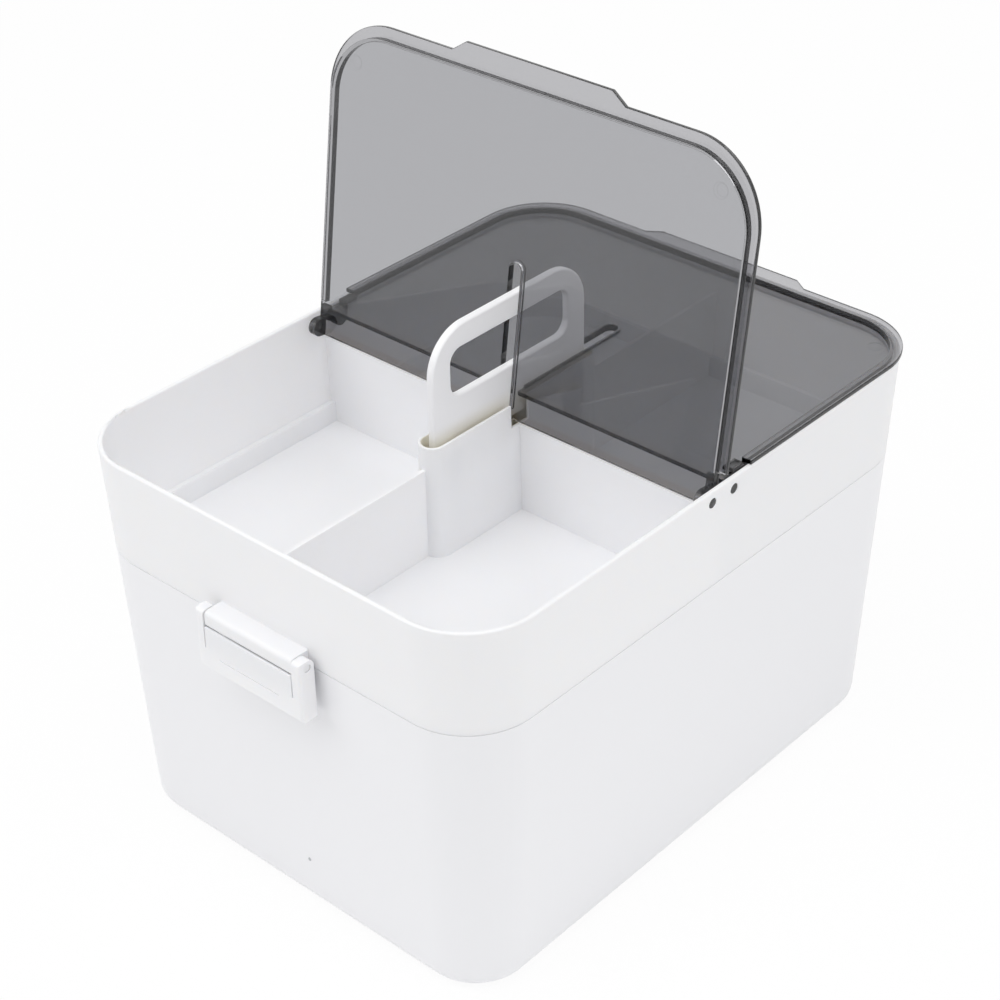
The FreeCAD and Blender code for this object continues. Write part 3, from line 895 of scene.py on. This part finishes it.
@dataclass
class GateNub:
    """The small grey nub that the mould left low on the front wall.

    Args:
        place: Where it sits.
        radius: Its radius.
        height: How far it stands out.
        lean: Lean of the front wall in degrees.
        sides: Sides of its round outline.
        straight: Share of its height below its crown.
        crown: How far its crown is set in, as a share of its radius.
        smooth: Faces that meet at less than this many degrees shade as one.
        grey: Its colour.
        gloss: Its roughness.
    """

    place: Triple = (9.2 * MM, -136.345 * MM, 25.2 * MM)
    radius: float = 0.8 * MM
    height: float = 0.3 * MM
    lean: float = 2.6
    sides: int = 24
    straight: float = 0.6
    crown: float = 0.45
    smooth: float = 50.0
    grey: Triple = (0.50, 0.51, 0.53)
    gloss: float = 0.5

    def build(self) -> None:
        """Model the nub and dress it."""
        deselect()
        bpy.ops.mesh.primitive_circle_add(
            vertices=self.sides, radius=self.radius, fill_type="NGON", location=self.place,
            rotation=(math.radians(90.0 - self.lean), 0.0, 0.0),
        )
        nub = bpy.context.object
        nub.name = "moulding_nub"
        bpy.ops.object.mode_set(mode="EDIT")
        bpy.ops.mesh.select_all(action="SELECT")
        out = Vector((0.0, -math.cos(math.radians(self.lean)), 0.0)) * self.height
        bpy.ops.mesh.extrude_region_move(
            TRANSFORM_OT_translate={"value": out * self.straight}
        )
        bpy.ops.mesh.inset(
            thickness=self.radius * self.crown, depth=self.height * (1.0 - self.straight)
        )
        close_shape()
        settle(nub)
        bpy.ops.object.shade_smooth_by_angle(angle=math.radians(self.smooth))
        finish = MouldedPlastic("nub_grey", colour=self.grey, gloss=self.gloss).material()
        nub.data.materials.append(finish)
        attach(nub, Body.BOX.value)
        LOG.info("built %s", nub.name)


@dataclass
class Tiers:
    """The deep lower tier and the upper tier with its column.

    Args:
        deep: White of the lower tier, a little cooler.
        open_white: White of the upper tier.
        tray_glow: Share of the light that scatters in the open tray's thin walls.
        tray_soft: Edge rounding of the open tray's thin walls.
        slot: The handle's pocket in the column, where the tray's white gets a painted yellowish
            light.
    """

    deep: Triple = (0.913, 0.914, 0.935)
    open_white: Triple = (0.916, 0.916, 0.932)
    tray_glow: float = 0.3
    tray_soft: float = 0.2 * MM
    slot: PaintedWarmLight = PaintedWarmLight((0.0, 0.0, 150.0 * MM), 46 * MM, 5.1 * MM, 30 * MM, 0.3 * MM)

    def build(self) -> None:
        """Build both tiers and the nub."""
        bin_white = MouldedPlastic("bin_polypropylene", colour=self.deep).material()
        # Painted light: the tray's white turns yellowish inside the column's slot.
        tray_white = MouldedPlastic(
            "tray_polypropylene", colour=self.open_white, glow=self.tray_glow,
            painted_light_places=(self.slot,),
        ).material()
        Moulding("lower_bin", Body.BOX, Slot.SHELL, bin_white).build()
        Moulding("upper_tray", Body.BOX, Slot.SHELL, tray_white, soft=self.tray_soft).build()
        GateNub().build()


@dataclass(frozen=True)
class HingeShoulders:
    """The dished blocks at the left and right end of a lid, over its hinge.

    Args:
        near: Where they begin, from the hinge line.
        far: Where they end, at the raised brim.
        inside: Their inner side, from the middle.
        outside: Their outer side.
        low: Their underside, which rests on the deck, over the hinge line.
        high: Their top.
        rim: Width of the rim round the dish.
        dish: Depth of the dish.
        soft: Width of their edge rounding.
        rounds: Steps of the edge rounding.
        smooth: Faces that meet at less than this many degrees shade as one.
        facing_up: How far up a face has to point to be the top.
    """

    near: float = 2.4 * MM
    far: float = 9.3 * MM
    inside: float = 102.4 * MM
    outside: float = 106.9 * MM
    low: float = 4.93 * MM
    high: float = 6.6 * MM
    rim: float = 1.1 * MM
    dish: float = 0.6 * MM
    soft: float = 0.25 * MM
    rounds: int = 2
    smooth: float = 35.0
    facing_up: float = 0.9

    def form(self) -> bpy.types.Object:
        """Model one block with its dish and soft edges, round the hinge line of a level lid.

        Returns:
            The form, centred across X.
        """
        deselect()
        bpy.ops.mesh.primitive_cube_add(
            size=1.0, location=(0.0, (self.near + self.far) / 2, (self.low + self.high) / 2)
        )
        form = bpy.context.object
        form.name = "shoulder_form"
        form.scale = (self.outside - self.inside, self.far - self.near, self.high - self.low)
        settle(form)
        bpy.ops.object.mode_set(mode="EDIT")
        bpy.ops.mesh.select_mode(type="FACE")
        bpy.ops.mesh.select_all(action="DESELECT")
        bpy.ops.object.mode_set(mode="OBJECT")
        for face in form.data.polygons:
            face.select = face.normal.z > self.facing_up
        bpy.ops.object.mode_set(mode="EDIT")
        bpy.ops.mesh.inset(thickness=self.rim, depth=0.0)
        bpy.ops.mesh.extrude_region_move(
            TRANSFORM_OT_translate={"value": (0.0, 0.0, -self.dish)}
        )
        close_shape()
        bevel = form.modifiers.new("soft_edges", "BEVEL")
        bevel.width, bevel.segments = self.soft, self.rounds
        bpy.ops.object.modifier_apply(modifier=bevel.name)
        return form

    def build(self, lid: str, body: Body, place: LidPlace, finish: bpy.types.Material) -> None:
        """Build the left and the right block of one lid.

        Args:
            lid: Name of the lid's CAD node.
            body: Body that the lid rides on.
            place: Where the lid lies.
            finish: The material they get.
        """
        form = self.form()
        middle = (self.inside + self.outside) / 2
        for name, along in (("left", -middle), ("right", middle)):
            shoulder = form.copy()
            shoulder.data = form.data.copy()
            shoulder.name = f"{lid}_{name}_shoulder"
            bpy.context.scene.collection.objects.link(shoulder)
            shoulder.matrix_world = place.matrix(along)
            settle(shoulder)
            bpy.ops.object.shade_smooth_by_angle(angle=math.radians(self.smooth))
            shoulder.data.materials.append(finish)
            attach(shoulder, body.value)
            LOG.info("built %s", shoulder.name)
        bpy.data.objects.remove(form)


@dataclass
class Covers:
    """The two smoky lids, the front one standing open.

    Args:
        opened: How far the front lid is turned up, in degrees.
        hinge_out: Distance of each hinge line from the middle.
        hinge_up: Height of the hinge lines.
        pin_side: Distance of the pin marks from the middle.
        pin_far: Distance of the pin marks from the hinge line.
        deck: Level of the pin marks' face over the hinge line.
        soft: Width of the lids' edge rounding.
        smooth: Faces that meet at less than this many degrees shade as one.
        shoulders: The blocks over the hinges.
        shoulder_tint: Their tint, dark because they are thick.
        clear: Tint of the light that the open lid lets through on the box.
        shading: The same for the shut lid, over the closed compartments.
    """

    opened: float = 98.0
    hinge_out: float = 6.8 * MM
    hinge_up: float = 177.0 * MM
    pin_side: float = 93.0 * MM
    pin_far: float = 120.5 * MM
    deck: float = 2.9 * MM
    soft: float = 0.15 * MM
    smooth: float = 35.0
    shoulders: HingeShoulders = HingeShoulders()
    shoulder_tint: Triple = (0.17, 0.17, 0.175)
    clear: Triple = WHITE
    shading: Triple = (0.78, 0.78, 0.78)

    def build(self) -> None:
        """Build both lids with their shoulders."""
        self.lid("front_lid", Body.FRONT_COVER, self.place(-1.0, self.opened), self.clear)
        self.lid("rear_lid", Body.REAR_COVER, self.place(1.0, 0.0), self.shading)

    def place(self, side: float, opened: float) -> LidPlace:
        """Find where one lid lies.

        Args:
            side: -1 for the front hinge line, 1 for the rear one.
            opened: How far the lid is turned up, in degrees.

        Returns:
            The lid's place.
        """
        turn = math.radians(opened)
        return LidPlace(
            origin=Vector((0.0, side * self.hinge_out, self.hinge_up)),
            across=Vector((0.0, -side * math.sin(turn), math.cos(turn))),
            outwards=Vector((0.0, side * math.cos(turn), math.sin(turn))),
        )

    def lid(self, node: str, body: Body, place: LidPlace, shade: Triple) -> None:
        """Build one lid with its shoulders.

        Args:
            node: Name of the CAD node.
            body: Body that the lid rides on.
            place: Where the lid lies.
            shade: Tint of the light that the lid lets through on the box.
        """
        pins = tuple(
            place.point(along, self.pin_far, self.deck)
            for along in (-self.pin_side, self.pin_side)
        )
        smoke = SmokyClear(f"smoky_{node}", place, pins=pins, shade=shade).material()
        Moulding(node, body, Slot.SMOKE, smoke, soft=self.soft, smooth=self.smooth).build()
        thick = SmokyClear(
            f"thick_{node}", place, body=self.shoulder_tint, brim=self.shoulder_tint, shade=shade
        ).material()
        self.shoulders.build(node, body, place, thick)


@dataclass
class CarryHandle:
    """The sliding handle plate.

    Args:
        white: Its white, a little cooler and glossier than the tiers.
        gloss: Its roughness.
        painted_warm_light: Colour of the painted light on its foot, standing in for the column's
            light.
        foot: Its foot, where the column's yellowish light is painted on it.
    """

    white: Triple = (0.955, 0.955, 0.97)
    gloss: float = 0.32
    painted_warm_light: Triple = (0.94, 0.92, 0.86)
    foot: PaintedWarmLight = PaintedWarmLight((0.0, 0.0, 150.0 * MM), 46 * MM, 30 * MM, 31 * MM, 8 * MM)

    def build(self) -> None:
        """Build the handle."""
        # Painted light: a yellowish tint on the handle's foot, near the column's mouth.
        finish = MouldedPlastic(
            "handle_polypropylene", colour=self.white, gloss=self.gloss, painted_warm_light=self.painted_warm_light,
            painted_light_places=(self.foot,),
        ).material()
        Moulding("carry_handle", Body.HANDLE, Slot.HANDLE, finish).build()


@dataclass
class CatchLevers:
    """The catch levers on the front and rear walls.

    Args:
        white: Their white, glossier than the tiers.
        gloss: Their roughness.
        glow: Share of the light that scatters in their thin walls.
        soft: Width of their edge rounding.
    """

    white: Triple = (0.925, 0.925, 0.95)
    gloss: float = 0.3
    glow: float = 0.35
    soft: float = 0.12 * MM

    def build(self) -> None:
        """Build both levers."""
        finish = MouldedPlastic(
            "latch_polypropylene", colour=self.white, gloss=self.gloss, glow=self.glow
        ).material()
        Moulding("front_latch", Body.FRONT_LEVER, Slot.LATCH, finish, soft=self.soft).build()
        Moulding("rear_latch", Body.REAR_LEVER, Slot.LATCH, finish, soft=self.soft).build()


@dataclass(frozen=True)
class SoftLamp:
    """A square lamp that looks at the box.

    Args:
        place: Where it hangs.
        size: Its side.
        power: Its power in watts.
    """

    place: Triple
    size: float
    power: float


@dataclass
class Studio:
    """Plain pale floor, soft light and the camera.

    Args:
        azimuth: Camera's turn from the front, in degrees.
        elevation: Camera's height angle, in degrees.
        roll: Camera's tilt about its own line of sight, in degrees.
        target: Point on the line of sight, in metres.
        distance: Camera's distance from that point.
        lens: Focal length in millimetres.
        sensor: Width of the sensor in millimetres.
        shift: Sideways shift of the frame.
        clip: Nearest and furthest distance that the camera sees.
        ambient: Strength of the even light.
        floor_size: Side of the floor.
        floor_white: Colour of the floor.
        floor_rough: Roughness of the floor.
        floor_share: Share of plain white in what is seen of the floor.
        heart: Point that the lamps look at.
        lamps: The soft lamps.
    """

    azimuth: float = 42.2596
    elevation: float = 33.4705
    roll: float = -1.0643
    target: Triple = (0.038631, -0.049008, 0.169395)
    distance: float = 0.891241
    lens: float = 82.3467
    sensor: float = 36.0
    shift: float = -0.00068
    clip: tuple[float, float] = (0.01, 50.0)
    ambient: float = 0.50
    floor_size: float = 6.0
    floor_white: Triple = (0.95, 0.95, 0.95)
    floor_rough: float = 0.6
    floor_share: float = 0.93
    heart: Triple = (0.0, 0.0, 0.12)
    lamps: tuple[SoftLamp, ...] = (
        SoftLamp((-1.0, -1.5, 1.8), size=1.8, power=16.5),
        SoftLamp((1.9, 0.1, 1.4), size=1.6, power=9.4),
        SoftLamp((0.3, 1.8, 1.8), size=1.4, power=6.0),
        SoftLamp((0.2, -0.4, 2.2), size=1.6, power=12.5),
    )

    def camera(self) -> None:
        """Set the camera at the photograph's viewing angle."""
        turn, rise = math.radians(self.azimuth), math.radians(self.elevation)
        back = Vector((
            math.sin(turn) * math.cos(rise), -math.cos(turn) * math.cos(rise), math.sin(rise)
        ))
        right = Vector((math.cos(turn), math.sin(turn), 0.0))
        up = back.cross(right)
        tilt = math.radians(self.roll)
        side = right * math.cos(tilt) + up * math.sin(tilt)
        top = up * math.cos(tilt) - right * math.sin(tilt)
        data = bpy.data.cameras.new("camera")
        data.lens, data.sensor_width = self.lens, self.sensor
        data.shift_x = self.shift
        data.clip_start, data.clip_end = self.clip
        camera = bpy.data.objects.new("camera", data)
        bpy.context.scene.collection.objects.link(camera)
        turned = Matrix((side, top, back)).transposed().to_4x4()
        place = Vector(self.target) + back * self.distance
        camera.matrix_world = Matrix.Translation(place) @ turned
        bpy.context.scene.camera = camera

    @staticmethod
    def seen(wire: Wiring) -> bpy.types.NodeSocket:
        """Mask of the rays that show the background: camera, glossy and transmission rays.

        Args:
            wire: Wiring of the tree that needs the mask.

        Returns:
            The mask's socket.
        """
        path = wire.add("ShaderNodeLightPath").outputs
        clear = wire.number("MAXIMUM", path["Is Glossy Ray"], path["Is Transmission Ray"])
        return wire.number("MAXIMUM", path["Is Camera Ray"], clear)

    def floor(self) -> None:
        """Lay the pale floor that keeps the shadow."""
        deselect()
        bpy.ops.mesh.primitive_plane_add(size=self.floor_size, location=(0, 0, 0))
        floor = bpy.context.object
        floor.name = "floor"
        made = bpy.data.materials.new("pale_floor")
        made.use_nodes = True
        nodes = made.node_tree.nodes
        wire = Wiring(made.node_tree)
        surface = nodes["Principled BSDF"]
        wire.fill(surface, {"Base Color": self.floor_white, "Roughness": self.floor_rough})
        light = wire.add("ShaderNodeEmission", {"Strength": 1.0})
        share = wire.number("MULTIPLY", self.seen(wire), self.floor_share)
        wire.fill(nodes["Material Output"], {"Surface": wire.choose(share, surface, light)})
        floor.data.materials.append(made)

    def light(self) -> None:
        """Hang the soft lamps and light the world evenly."""
        for i, soft in enumerate(self.lamps):
            data = bpy.data.lights.new(f"lamp_{i}", "AREA")
            data.energy, data.size = soft.power, soft.size
            lamp = bpy.data.objects.new(f"lamp_{i}", data)
            bpy.context.scene.collection.objects.link(lamp)
            aim = (Vector(self.heart) - Vector(soft.place)).to_track_quat("-Z", "Y")
            lamp.matrix_world = Matrix.Translation(soft.place) @ aim.to_matrix().to_4x4()
        world = bpy.data.worlds.new("studio")
        bpy.context.scene.world = world
        world.use_nodes = True
        wire = Wiring(world.node_tree)
        level = wire.add(
            "ShaderNodeMapRange",
            {"Value": self.seen(wire), "To Min": self.ambient, "To Max": 1.0},
        ).outputs[0]
        wire.fill(world.node_tree.nodes["Background"], {"Color": WHITE, "Strength": level})
        bpy.context.scene.view_settings.view_transform = "Standard"

    def build(self) -> None:
        """Build the whole stage."""
        self.camera()
        self.floor()
        self.light()
        LOG.info("built the studio")


def main() -> None:
    """Build every piece, then the stage."""
    logging.basicConfig(level=logging.INFO, format="%(message)s")
    Tiers().build()
    Covers().build()
    CarryHandle().build()
    CatchLevers().build()
    Studio().build()


if __name__ == "__main__":
    main()
